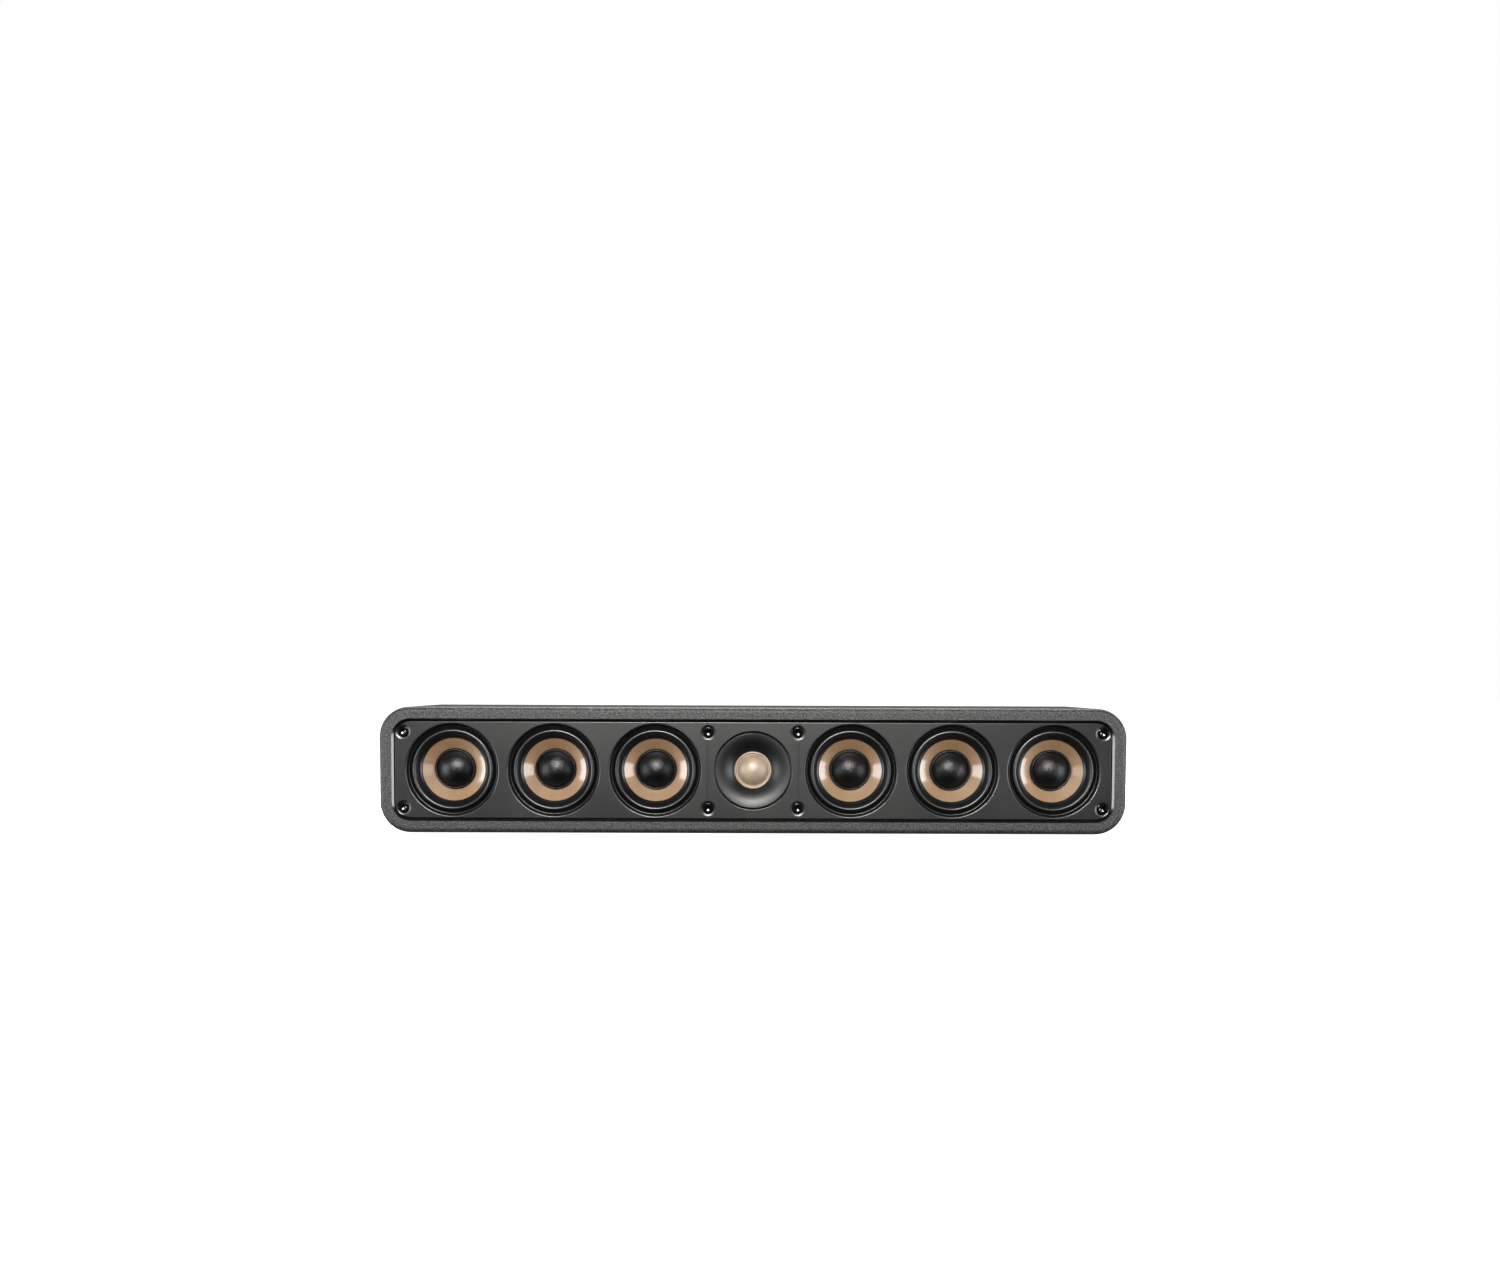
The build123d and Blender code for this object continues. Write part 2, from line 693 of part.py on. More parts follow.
def front_baffle():
    """Painted board with a rounded rim, a bevelled recess for the panels and seats for the drivers."""
    board = slab(
        RectangleRounded(cabinet_length, cabinet_height, CORNER_RADIUS), baffle_front, baffle_back
    )
    board = fillet(board.faces().sort_by(Axis.Y)[0].edges(), FRONT_ROUND)
    recess = RectangleRounded(recess_length, recess_height, RECESS_CORNER)
    board -= slab(recess, baffle_front, PANEL_THICKNESS)
    front_ring = board.faces().sort_by(Axis.Y)[0]
    board = chamfer(front_ring.inner_wires()[0].edges(), RECESS_EDGE)
    woofer_seat = RectangleRounded(
        woofer_flange + 2 * FIT, woofer_flange + 2 * FIT, FLANGE_CORNER + FIT
    )
    woofer_cut = slab(woofer_seat, PANEL_THICKNESS, flange_back)
    woofer_cut += slab(Circle(basket_radius + FIT), flange_back, baffle_back)
    for x, z in driver_screw_corners(woofer_flange, FLANGE_CORNER):
        woofer_cut += at(x, z, small_screw_hole(PANEL_THICKNESS))
    for x in woofer_places:
        board -= at(x, 0, woofer_cut)
    tweeter_seat = RectangleRounded(
        tweeter_flange + 2 * FIT, tweeter_flange + 2 * FIT, TWEETER_FLANGE_CORNER + FIT
    )
    board -= slab(tweeter_seat, PANEL_THICKNESS, flange_back)
    board -= slab(Circle(faceplate_radius + FIT), flange_back, baffle_back)
    for x, z in driver_screw_corners(tweeter_flange, TWEETER_FLANGE_CORNER):
        board -= at(x, z, small_screw_hole(PANEL_THICKNESS))
    pilot = slab(Circle(SCREW_SHANK_RADIUS + FIT), PANEL_THICKNESS, PANEL_THICKNESS + SCREW_BITE + FIT)
    for x, z in panel_screw_places:
        board -= at(x, z, pilot)
    return board


def cabinet_shell():
    """Wrapped cabinet: a rounded tube glued to the back of the baffle."""
    outside = RectangleRounded(cabinet_length, cabinet_height, CORNER_RADIUS)
    tube = slab(outside, baffle_back, cabinet_back)
    tube = fillet(tube.faces().sort_by(Axis.Y)[-1].edges(), REAR_EDGE)
    return tube - slab(inside_outline(0), baffle_back, cabinet_back)


def inside_outline(fit):
    """Outline of the space inside the cabinet walls, less a fit all round."""
    inset = 2 * (WALL + fit)
    return RectangleRounded(cabinet_length - inset, cabinet_height - inset, CORNER_RADIUS - WALL - fit)


def rear_panel():
    """Rear board let into the cabinet, with its port, cup, hanger and screw cut-outs."""
    board = slab(inside_outline(FIT), rear_inside, rear_face)
    for side in (-1, 1):
        board -= at(side * port_x, 0, slab(Circle(PORT_RADIUS + PORT_FLARE + FIT), rear_inside, rear_face))
        board -= at(side * hanger_x, HANGER_HEIGHT, hanger_pocket())
    board -= slab(cup_outline(CUP_WALL + FIT), rear_inside, rear_face)
    for x, z, depth in rear_screw_places():
        board -= at(x, z, from_behind(small_screw_hole(0), depth))
    return board


def hanger_pocket():
    """Cutter for a hanger's seat in the rear panel and the room for a screw head behind it."""
    plate_front = rear_face - HANGER_THICKNESS
    plate = RectangleRounded(HANGER_LENGTH + 2 * FIT, HANGER_WIDTH + 2 * FIT, HANGER_CORNER + FIT)
    return slab(plate, plate_front, rear_face) + slab(
        keyhole(POCKET_MARGIN + KEYHOLE_RADIUS - KEYHOLE_SLOT / 2), plate_front - KEYHOLE_POCKET, plate_front
    )


def keyhole(margin=0.0):
    """Keyhole outline: a round entry with a slot above it, grown by a margin on the slot."""
    slot_radius = KEYHOLE_SLOT / 2 + margin
    entry = Pos(0, -KEYHOLE_DROP) * Circle(max(KEYHOLE_RADIUS, slot_radius))
    length = KEYHOLE_DROP + KEYHOLE_RISE
    slot = Pos(0, (KEYHOLE_RISE - KEYHOLE_DROP) / 2) * Rectangle(2 * slot_radius, length)
    return entry + slot + Pos(0, KEYHOLE_RISE) * Circle(slot_radius)


def keyhole_hanger():
    """Pressed steel plate with a keyhole, let flush into the rear panel."""
    plate = RectangleRounded(HANGER_LENGTH, HANGER_WIDTH, HANGER_CORNER) - keyhole()
    hanger = slab(plate, rear_face - HANGER_THICKNESS, rear_face)
    for side in (-1, 1):
        hanger -= at(side * HANGER_SCREW_X, 0, from_behind(small_screw_hole(0), rear_face))
    return hanger


def cup_outline(grow):
    """Outline of the terminal cup's recess, grown all round."""
    return RectangleRounded(CUP_WIDTH + 2 * grow, CUP_HEIGHT + 2 * grow, CUP_CORNER + grow)


def rear_screw_places():
    """Places of the screws on the back, with the depth that their heads are flush with."""
    inset = CUP_FLANGE / 4
    cup = [(x, z, cabinet_back) for x, z in corners(CUP_WIDTH / 2 + inset, CUP_HEIGHT / 2 + inset)]
    hangers = [
        (side * hanger_x + end * HANGER_SCREW_X, HANGER_HEIGHT, rear_face)
        for side in (-1, 1)
        for end in (-1, 1)
    ]
    return cup + hangers


def terminal_cup():
    """Moulded cup with a flange on the rear panel and a floor that carries the posts."""
    cup = slab(cup_outline(CUP_FLANGE), rear_face, cabinet_back)
    cup += slab(cup_outline(CUP_WALL), cup_floor - CUP_WALL, rear_face)
    cup -= slab(cup_outline(0), cup_floor, cabinet_back)
    for side in (-1, 1):
        hole = slab(Circle(POST_RADIUS + FIT), cup_floor - CUP_WALL, cup_floor)
        cup -= at(side * POST_SPACING / 2, 0, hole)
    for x, z, depth in rear_screw_places():
        if depth == cabinet_back:
            cup -= at(x, z, from_behind(small_screw_hole(0), depth))
    return cup


def binding_post():
    """Plated post: a collar on the cup floor, a hollow end for a plug and a nut inside."""
    end = cup_floor + POST_LENGTH
    nut_back = cup_floor - CUP_WALL
    post = slab(Circle(POST_RADIUS), nut_back - POST_TAIL, end)
    post += slab(Circle(COLLAR_RADIUS), cup_floor, cup_floor + COLLAR_THICKNESS)
    post -= slab(Circle(PLUG_RADIUS), end - PLUG_DEPTH, end)
    nut = slab(
        RegularPolygon(NUT_FLATS / 2, 6, major_radius=False) - Circle(POST_RADIUS + FIT / 2),
        nut_back - NUT_THICKNESS,
        nut_back,
    )
    return [post, nut]


def post_knob():
    """Fluted knob that turns on a binding post, open at its end for a plug."""
    outline = Circle(KNOB_RADIUS)
    for flute in range(KNOB_FLUTES):
        angle = 2 * math.pi * flute / KNOB_FLUTES
        place = Pos(KNOB_RADIUS * math.cos(angle), KNOB_RADIUS * math.sin(angle))
        outline -= place * Circle(FLUTE_RADIUS)
    back = knob_front + KNOB_LENGTH
    envelope = turned_polygon(
        (0, knob_front),
        (KNOB_RADIUS - KNOB_EDGE, knob_front),
        (KNOB_RADIUS, knob_front + KNOB_EDGE),
        (KNOB_RADIUS, back - KNOB_EDGE),
        (KNOB_RADIUS - KNOB_EDGE, back),
        (0, back),
    )
    knob = slab(outline, knob_front, back) & envelope
    return knob - slab(Circle(POST_RADIUS + RUNNING_GAP), knob_front, back)


def port_tube():
    """Moulded port: a flared mouth with a lip on the rear panel and a straight tube."""
    outer = PORT_RADIUS + PORT_WALL
    mouth = PORT_RADIUS + PORT_FLARE
    lip_edge = mouth + PORT_LIP
    start = rear_face - PORT_LENGTH
    flare_middle = PORT_FLARE * (1 - math.sqrt(0.5))
    flare_start = cabinet_back - PORT_FLARE
    wall = Polyline(
        (mouth, cabinet_back),
        (lip_edge, cabinet_back),
        (lip_edge, rear_face),
        (mouth, rear_face),
        (mouth, flare_start),
        (outer, flare_start),
        (outer, start),
        (PORT_RADIUS, start),
        (PORT_RADIUS, flare_start),
    )
    flare = ThreePointArc(
        (PORT_RADIUS, flare_start),
        (PORT_RADIUS + flare_middle, cabinet_back - flare_middle),
        (mouth, cabinet_back),
    )
    return turned(wall, flare)


def rubber_foot():
    """Thin self-adhesive rubber disc under the cabinet."""
    bottom = -cabinet_height / 2 - FOOT_HEIGHT
    foot = extrude(Plane.XY.offset(bottom) * Circle(FOOT_RADIUS), FOOT_HEIGHT)
    return fillet(foot.faces().sort_by(Axis.Z)[0].edges(), FOOT_HEIGHT / 3)


def crossover_board():
    """Circuit board behind the rear panel, beside the terminal cup."""
    board = slab(Rectangle(BOARD_LENGTH, BOARD_HEIGHT), board_face, board_face + BOARD_THICKNESS)
    return at(board_x, 0, board)


def board_spacers():
    """Spacers between the rear panel and the corners of the board."""
    spacer = slab(Circle(SPACER_RADIUS), board_face + BOARD_THICKNESS, rear_inside)
    places = corners(BOARD_LENGTH / 2 - SPACER_INSET, BOARD_HEIGHT / 2 - SPACER_INSET)
    return [at(board_x + x, z, spacer) for x, z in places]


def crossover_coils():
    """Wound coils standing on the upper half of the board."""
    coil = slab(Circle(COIL_OUTER) - Circle(COIL_INNER), board_face - COIL_HEIGHT, board_face)
    step = BOARD_LENGTH / COIL_COUNT
    return [
        at(board_x + (place - (COIL_COUNT - 1) / 2) * step, BOARD_HEIGHT / 4, coil)
        for place in range(COIL_COUNT)
    ]


def crossover_capacitors():
    """Film capacitors lying on the lower half of the board."""
    can = Pos(0, board_face - CAPACITOR_RADIUS, 0) * Rot(0, 90, 0) * Cylinder(
        CAPACITOR_RADIUS, CAPACITOR_LENGTH
    )
    step = BOARD_LENGTH / CAPACITOR_COUNT
    return [
        at(board_x + (place - (CAPACITOR_COUNT - 1) / 2) * step, -BOARD_HEIGHT / 4, can)
        for place in range(CAPACITOR_COUNT)
    ]


def driver_screws():
    """The countersunk screws through the flanges of the woofers and the tweeter."""
    screw = small_screw(PANEL_THICKNESS)
    tweeter_corners = driver_screw_corners(tweeter_flange, TWEETER_FLANGE_CORNER)
    screws = [at(x, z, screw) for x, z in tweeter_corners]
    for woofer_x in woofer_places:
        for x, z in driver_screw_corners(woofer_flange, FLANGE_CORNER):
            screws.append(at(woofer_x + x, z, screw))
    return screws


woofer_holes = [(x, panel_hole, HOLE_ROUND) for x in woofer_places]
tweeter_hole = (0, faceplate_radius + TWEETER_REVEAL, TWEETER_ROUND)
panel_end = panels_length / 2
seam_inner = seam_x + SEAM_STRIP / 2
seam_outer = seam_inner + SEAM_GAP

pieces = {
    "front_baffle": [front_baffle()],
    "cabinet_shell": [cabinet_shell()],
    "rear_panel": [rear_panel()],
    "left_trim_panel": [trim_panel(-panel_end, -seam_outer, woofer_holes[:3])],
    "tweeter_trim_panel": [tweeter_trim_panel()],
    "right_trim_panel": [trim_panel(seam_outer, panel_end, woofer_holes[3:])],
    "trim_panel_screws": [at(x, z, panel_screw()) for x, z in panel_screw_places],
    "driver_screws": driver_screws(),
    "tweeter_faceplate": [tweeter_faceplate()],
    "tweeter_dome": [tweeter_dome()],
    "tweeter_pole_plates": tweeter_pole_plates(),
    "tweeter_magnet": [tweeter_magnet()],
    "tweeter_rear_chamber": [tweeter_rear_chamber()],
    "left_port_tube": [at(-port_x, 0, port_tube())],
    "right_port_tube": [at(port_x, 0, port_tube())],
    "terminal_cup": [terminal_cup()],
    "binding_posts": [
        at(side * POST_SPACING / 2, 0, piece) for side in (-1, 1) for piece in binding_post()
    ],
    "positive_post_knob": [at(POST_SPACING / 2, 0, post_knob())],
    "negative_post_knob": [at(-POST_SPACING / 2, 0, post_knob())],
    "left_keyhole_hanger": [at(-hanger_x, HANGER_HEIGHT, keyhole_hanger())],
    "right_keyhole_hanger": [at(hanger_x, HANGER_HEIGHT, keyhole_hanger())],
    "rear_screws": [
        at(x, z, from_behind(small_screw(0), depth)) for x, z, depth in rear_screw_places()
    ],
    "rubber_feet": [
        Pos(side * feet_x, y, 0) * rubber_foot() for side in (-1, 1) for y in (feet_front, feet_back)
    ],
    "crossover_board": [crossover_board()],
    "board_spacers": board_spacers(),
    "crossover_coils": crossover_coils(),
    "crossover_capacitors": crossover_capacitors(),
    "woofer_magnets": [at(x, 0, woofer_magnet()) for x in woofer_places],
    "woofer_pole_plates": [
        at(x, 0, piece) for x in woofer_places for piece in (woofer_top_plate(), woofer_yoke())
    ],
    "woofer_spiders": [at(x, 0, spider()) for x in woofer_places],
}
for number, x in enumerate(woofer_places, start=1):
    pieces[f"woofer_{number}_basket"] = [at(x, 0, basket())]
    pieces[f"woofer_{number}_surround"] = [at(x, 0, surround())]
    pieces[f"woofer_{number}_cone"] = [at(x, 0, cone())]
    pieces[f"woofer_{number}_dust_cap"] = [at(x, 0, dust_cap())]
    pieces[f"woofer_{number}_voice_coil"] = [at(x, 0, voice_coil())]

os.makedirs("parts", exist_ok=True)
on_its_feet = Pos(0, -CABINET_DEPTH / 2 - baffle_front, cabinet_height / 2 + FOOT_HEIGHT)
for name, solids in pieces.items():
    placed = [solid for piece in solids for solid in (on_its_feet * piece).solids()]
    shape = placed[0] if len(placed) == 1 else Compound(children=placed)
    export_step(shape, f"parts/{name}.step")
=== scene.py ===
import math

import bmesh
import bpy
from mathutils import Matrix, Vector


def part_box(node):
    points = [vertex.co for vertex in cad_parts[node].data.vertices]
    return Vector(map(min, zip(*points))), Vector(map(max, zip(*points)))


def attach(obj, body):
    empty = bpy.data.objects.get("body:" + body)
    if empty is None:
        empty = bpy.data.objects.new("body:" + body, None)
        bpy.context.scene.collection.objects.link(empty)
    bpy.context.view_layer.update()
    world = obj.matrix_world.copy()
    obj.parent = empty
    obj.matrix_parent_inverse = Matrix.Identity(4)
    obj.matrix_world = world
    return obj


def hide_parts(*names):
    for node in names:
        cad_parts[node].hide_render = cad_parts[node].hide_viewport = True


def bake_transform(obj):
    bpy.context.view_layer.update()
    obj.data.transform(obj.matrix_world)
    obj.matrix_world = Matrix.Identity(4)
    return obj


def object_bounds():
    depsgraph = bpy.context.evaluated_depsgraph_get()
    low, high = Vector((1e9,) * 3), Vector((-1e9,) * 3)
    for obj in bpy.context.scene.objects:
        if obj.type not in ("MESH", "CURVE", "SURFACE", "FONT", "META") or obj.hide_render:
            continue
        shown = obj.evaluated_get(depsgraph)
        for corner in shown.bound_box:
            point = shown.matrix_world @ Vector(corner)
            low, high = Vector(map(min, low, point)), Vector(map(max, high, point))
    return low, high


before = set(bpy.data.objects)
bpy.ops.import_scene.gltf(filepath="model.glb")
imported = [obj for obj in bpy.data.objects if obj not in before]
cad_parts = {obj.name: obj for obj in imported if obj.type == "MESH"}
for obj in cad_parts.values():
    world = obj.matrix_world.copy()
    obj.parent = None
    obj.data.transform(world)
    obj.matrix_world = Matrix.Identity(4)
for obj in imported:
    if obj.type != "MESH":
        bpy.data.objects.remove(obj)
cad_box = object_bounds()

# The cabinet is a rounded tube of fibre board, wrapped in black vinyl and glued to the back of the baffle.
# The vinyl has a fine leathery grain, is a little uneven in gloss, and gathers some dust on top.


def shader_group(name, inputs, outputs):
    """A node group with named float inputs and named outputs of a socket type."""
    group = bpy.data.node_groups.new(name, "ShaderNodeTree")
    for label, value in inputs.items():
        socket = group.interface.new_socket(label, in_out="INPUT", socket_type="NodeSocketFloat")
        socket.default_value = value
    for label, kind in outputs.items():
        group.interface.new_socket(label, in_out="OUTPUT", socket_type=kind)
    start = group.nodes.new("NodeGroupInput")
    end = group.nodes.new("NodeGroupOutput")
    return group, start.outputs, end.inputs


def math_node(tree, operation, first, second=None, third=None):
    """One step of arithmetic on sockets or plain numbers, giving its result socket."""
    node = tree.nodes.new("ShaderNodeMath")
    node.operation = operation
    for place, value in enumerate((first, second, third)):
        if value is None:
            continue
        if isinstance(value, bpy.types.NodeSocket):
            tree.links.new(value, node.inputs[place])
        else:
            node.inputs[place].default_value = value
    return node.outputs[0]


def noise_node(tree, place, scale, detail, roughness=0.5):
    """Noise at a place, in cells to the metre given by a socket or a number."""
    node = tree.nodes.new("ShaderNodeTexNoise")
    tree.links.new(place, node.inputs["Vector"])
    if isinstance(scale, bpy.types.NodeSocket):
        tree.links.new(scale, node.inputs["Scale"])
    else:
        node.inputs["Scale"].default_value = scale
    node.inputs["Detail"].default_value = detail
    node.inputs["Roughness"].default_value = roughness
    return node.outputs["Fac"]


def spread_node(tree, value, low, high, out_low=0.0, out_high=1.0):
    """A value stretched from one range to another, and held at its ends."""
    node = tree.nodes.new("ShaderNodeMapRange")
    tree.links.new(value, node.inputs["Value"])
    for label, number in (
        ("From Min", low),
        ("From Max", high),
        ("To Min", out_low),
        ("To Max", out_high),
    ):
        if isinstance(number, bpy.types.NodeSocket):
            tree.links.new(number, node.inputs[label])
        else:
            node.inputs[label].default_value = number
    return node.outputs["Result"]


def grain_group():
    """Fine grain with a slow drift under it, as a mask round one half and a height."""
    group, take, give = shader_group(
        "fine grain",
        {"Scale": 900.0, "Drift": 12.0},
        {"Grain": "NodeSocketFloat", "Drift": "NodeSocketFloat"},
    )
    place = group.nodes.new("ShaderNodeTexCoord").outputs["Object"]
    fine = noise_node(group, place, take["Scale"], 3.0, 0.6)
    slow = noise_node(group, place, take["Drift"], 2.0)
    group.links.new(spread_node(group, fine, 0.3, 0.7), give["Grain"])
    drift = spread_node(group, slow, 0.2, 0.8)
    drift.node.interpolation_type = "SMOOTHERSTEP"
    group.links.new(drift, give["Drift"])
    return group


def dust_group():
    """Fine settled dust: specks and a faint veil on faces that look upwards."""
    group, take, give = shader_group("settled dust", {"Amount": 0.2}, {"Mask": "NodeSocketFloat"})
    place = group.nodes.new("ShaderNodeTexCoord").outputs["Object"]
    facing = group.nodes.new("ShaderNodeSeparateXYZ")
    group.links.new(group.nodes.new("ShaderNodeNewGeometry").outputs["Normal"], facing.inputs[0])
    upward = spread_node(group, facing.outputs["Z"], 0.2, 1.0)
    veil = spread_node(group, noise_node(group, place, 35.0, 4.0), 0.35, 0.75)
    specks = spread_node(group, noise_node(group, place, 1900.0, 1.0), 0.66, 0.74)
    fall = math_node(group, "MULTIPLY", upward, math_node(group, "MULTIPLY_ADD", veil, 0.4, specks))
    group.links.new(math_node(group, "MULTIPLY", fall, take["Amount"]), give["Mask"])
    return group


FINE_GRAIN = grain_group()
SETTLED_DUST = dust_group()
DUST_COLOUR = (0.32, 0.31, 0.29, 1.0)


class Finish:
    """A material round one Principled shader, with short ways to add grain, bump and dust."""

    def __init__(self, name, **sockets):
        self.material = bpy.data.materials.new(name)
        self.material.use_nodes = True
        self.tree = self.material.node_tree
        self.shader = self.tree.nodes["Principled BSDF"]
        for label, value in sockets.items():
            self.shader.inputs[label.replace("_", " ")].default_value = value

    def group(self, tree, **values):
        """A shared node group placed in this material with its own values."""
        node = self.tree.nodes.new("ShaderNodeGroup")
        node.node_tree = tree
        for label, value in values.items():
            node.inputs[label.replace("_", " ")].default_value = value
        return node.outputs

    def tint(self, mask, low, high):
        """A colour between two others by a mask."""
        node = self.tree.nodes.new("ShaderNodeMix")
        node.data_type = "RGBA"
        self.tree.links.new(mask, node.inputs["Factor"])
        for socket, colour in ((node.inputs[6], low), (node.inputs[7], high)):
            if isinstance(colour, bpy.types.NodeSocket):
                self.tree.links.new(colour, socket)
            else:
                socket.default_value = colour
        return node.outputs[2]

    def link(self, value, label):
        """A socket joined to the shader."""
        self.tree.links.new(value, self.shader.inputs[label])

    def bump(self, height, distance, strength=1.0):
        """A height in metres of relief, joined to the shader's normal."""
        node = self.tree.nodes.new("ShaderNodeBump")
        node.inputs["Distance"].default_value = distance
        node.inputs["Strength"].default_value = strength
        self.tree.links.new(height, node.inputs["Height"])
        self.link(node.outputs["Normal"], "Normal")

    def dusty(self, colour, amount):
        """A colour with settled dust over it, joined to the base colour."""
        dust = self.group(SETTLED_DUST, Amount=amount)
        self.link(self.tint(dust["Mask"], colour, DUST_COLOUR), "Base Color")

    def on(self, *nodes):
        """This finish on CAD nodes, all their faces."""
        for node in nodes:
            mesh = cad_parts[node].data
            mesh.materials.clear()
            mesh.materials.append(self.material)
            for face in mesh.polygons:
                face.material_index = 0


def moulded(name, low, high, roughness, grain, relief, dust=0.08, **sockets):
    """A plain moulded or painted finish: two near colours, a fine grain and uneven gloss."""
    finish = Finish(name, **sockets)
    texture = finish.group(FINE_GRAIN, Scale=grain)
    finish.dusty(finish.tint(texture["Drift"], low, high), dust)
    gloss = spread_node(finish.tree, texture["Drift"], 0.0, 1.0, roughness - 0.03, roughness + 0.03)
    finish.link(gloss, "Roughness")
    finish.bump(texture["Grain"], relief)
    return finish


moulded(
    "black vinyl wrap",
    low=(0.012, 0.012, 0.012, 1),
    high=(0.016, 0.016, 0.0155, 1),
    roughness=0.74,
    grain=900.0,
    relief=0.00001,
    dust=0.05,
    Specular_IOR_Level=0.2,
).on("cabinet_shell")

# The crossover is a glass-fibre board on four spacers behind the rear panel, with wound coils and
# film capacitors soldered to it. The board is green under its solder mask.
woofers = range(1, 7)
moulded(
    "green circuit board",
    low=(0.012, 0.09, 0.03, 1),
    high=(0.02, 0.12, 0.045, 1),
    roughness=0.42,
    grain=700.0,
    relief=0.00003,
).on("crossover_board")
moulded(
    "enamelled copper",
    low=(0.42, 0.16, 0.07, 1),
    high=(0.55, 0.22, 0.1, 1),
    roughness=0.3,
    grain=2400.0,
    relief=0.00008,
    Metallic=0.85,
).on("crossover_coils", *(f"woofer_{n}_voice_coil" for n in woofers))
moulded(
    "wrapped film capacitor",
    low=(0.3, 0.06, 0.03, 1),
    high=(0.36, 0.08, 0.04, 1),
    roughness=0.3,
    grain=500.0,
    relief=0.00002,
).on("crossover_capacitors")

# The rear panel is a black painted board let into the cabinet. The ports, the terminal cup and the
# board's spacers are black moulded plastic, with a fine spark-eroded texture.
moulded(
    "black painted board",
    low=(0.019, 0.019, 0.019, 1),
    high=(0.027, 0.027, 0.026, 1),
    roughness=0.52,
    grain=1100.0,
    relief=0.00009,
).on("rear_panel")
moulded(
    "black moulded plastic",
    low=(0.014, 0.014, 0.014, 1),
    high=(0.02, 0.02, 0.02, 1),
    roughness=0.42,
    grain=1700.0,
    relief=0.00004,
).on("left_port_tube", "right_port_tube", "terminal_cup", "board_spacers", "tweeter_rear_chamber")

# The binding posts are gold-plated brass, and their knobs are fluted plastic, red for the positive
# post and black for the negative one.
moulded(
    "gold plating",
    low=(0.72, 0.48, 0.17, 1),
    high=(0.8, 0.56, 0.22, 1),
    roughness=0.2,
    grain=1200.0,
    relief=0.00001,
    Metallic=1.0,
).on("binding_posts")
moulded(
    "red knob plastic",
    low=(0.32, 0.012, 0.012, 1),
    high=(0.4, 0.018, 0.015, 1),
    roughness=0.34,
    grain=1500.0,
    relief=0.00002,
).on("positive_post_knob")
moulded(
    "black knob plastic",
    low=(0.012, 0.012, 0.012, 1),
    high=(0.018, 0.018, 0.018, 1),
    roughness=0.34,
    grain=1500.0,
    relief=0.00002,
).on("negative_post_knob")

# The keyhole hangers are pressed from zinc-plated steel strip and screwed to the rear panel. The screws
# are blackened steel, and the socket screws in front are polished. The pole plates are plated too.
moulded(
    "zinc-plated steel",
    low=(0.46, 0.46, 0.48, 1),
    high=(0.6, 0.6, 0.62, 1),
    roughness=0.3,
    grain=260.0,
    relief=0.00002,
    Metallic=1.0,
).on("left_keyhole_hanger", "right_keyhole_hanger", "tweeter_pole_plates", "woofer_pole_plates")
moulded(
    "blackened steel",
    low=(0.012, 0.012, 0.012, 1),
    high=(0.018, 0.018, 0.018, 1),
    roughness=0.3,
    grain=1800.0,
    relief=0.00001,
    Metallic=0.3,
).on("rear_screws", "driver_screws")
moulded(
    "polished black steel",
    low=(0.0015, 0.0015, 0.0015, 1),
    high=(0.0025, 0.0025, 0.0025, 1),
    roughness=0.17,
    grain=1800.0,
    relief=0.000004,
    dust=0.02,
    Specular_IOR_Level=0.6,
).on("trim_panel_screws")

# The baffle is a routed fibre board with a raised rim round the recess. Its paint is sprayed on in
# droplets, so the rim is grey-black with a rough speckle that catches the light.
BAFFLE_DARK = (0.006, 0.006, 0.0058, 1)
BAFFLE_LIGHT = (0.112, 0.111, 0.108, 1)
BEVEL_BLACK = (0.003, 0.003, 0.003, 1)
BAFFLE_DROPLETS = 1080.0
DROPLET_RELIEF = 0.00018
DROPLET_STRENGTH = 0.8
DROPLET_ROUGHNESS = 0.45
RIM_ROUGHNESS = 0.6
BEVEL_ROUGHNESS = 0.3
BAFFLE_DUST = 0.04
BEVEL_WIDTH = 0.00215
RIM_SKIN = 0.00003


def speckle_group():
    """Sprayed droplets: round grains of uneven size, as a mask and a height."""
    group, take, give = shader_group(
        "sprayed speckle", {"Scale": 1250.0}, {"Mask": "NodeSocketFloat", "Height": "NodeSocketFloat"}
    )
    place = group.nodes.new("ShaderNodeTexCoord").outputs["Object"]
    cells = group.nodes.new("ShaderNodeTexVoronoi")
    cells.feature = "SMOOTH_F1"
    group.links.new(place, cells.inputs["Vector"])
    group.links.new(take["Scale"], cells.inputs["Scale"])
    grains = spread_node(group, cells.outputs["Distance"], 0.1, 0.6, 1.0, 0.0)
    patch_scale = math_node(group, "MULTIPLY", take["Scale"], 0.9)
    patches = noise_node(group, place, patch_scale, 2.0, 0.65)
    mixed = math_node(group, "MULTIPLY", grains, spread_node(group, patches, 0.32, 0.68))
    group.links.new(mixed, give["Mask"])
    group.links.new(math_node(group, "MULTIPLY_ADD", grains, 0.6, patches), give["Height"])
    return group


SPRAYED_SPECKLE = speckle_group()
baffle_paint = Finish("textured baffle paint", Specular_IOR_Level=0.55, Coat_Roughness=0.26)
droplets = baffle_paint.group(SPRAYED_SPECKLE, Scale=BAFFLE_DROPLETS)


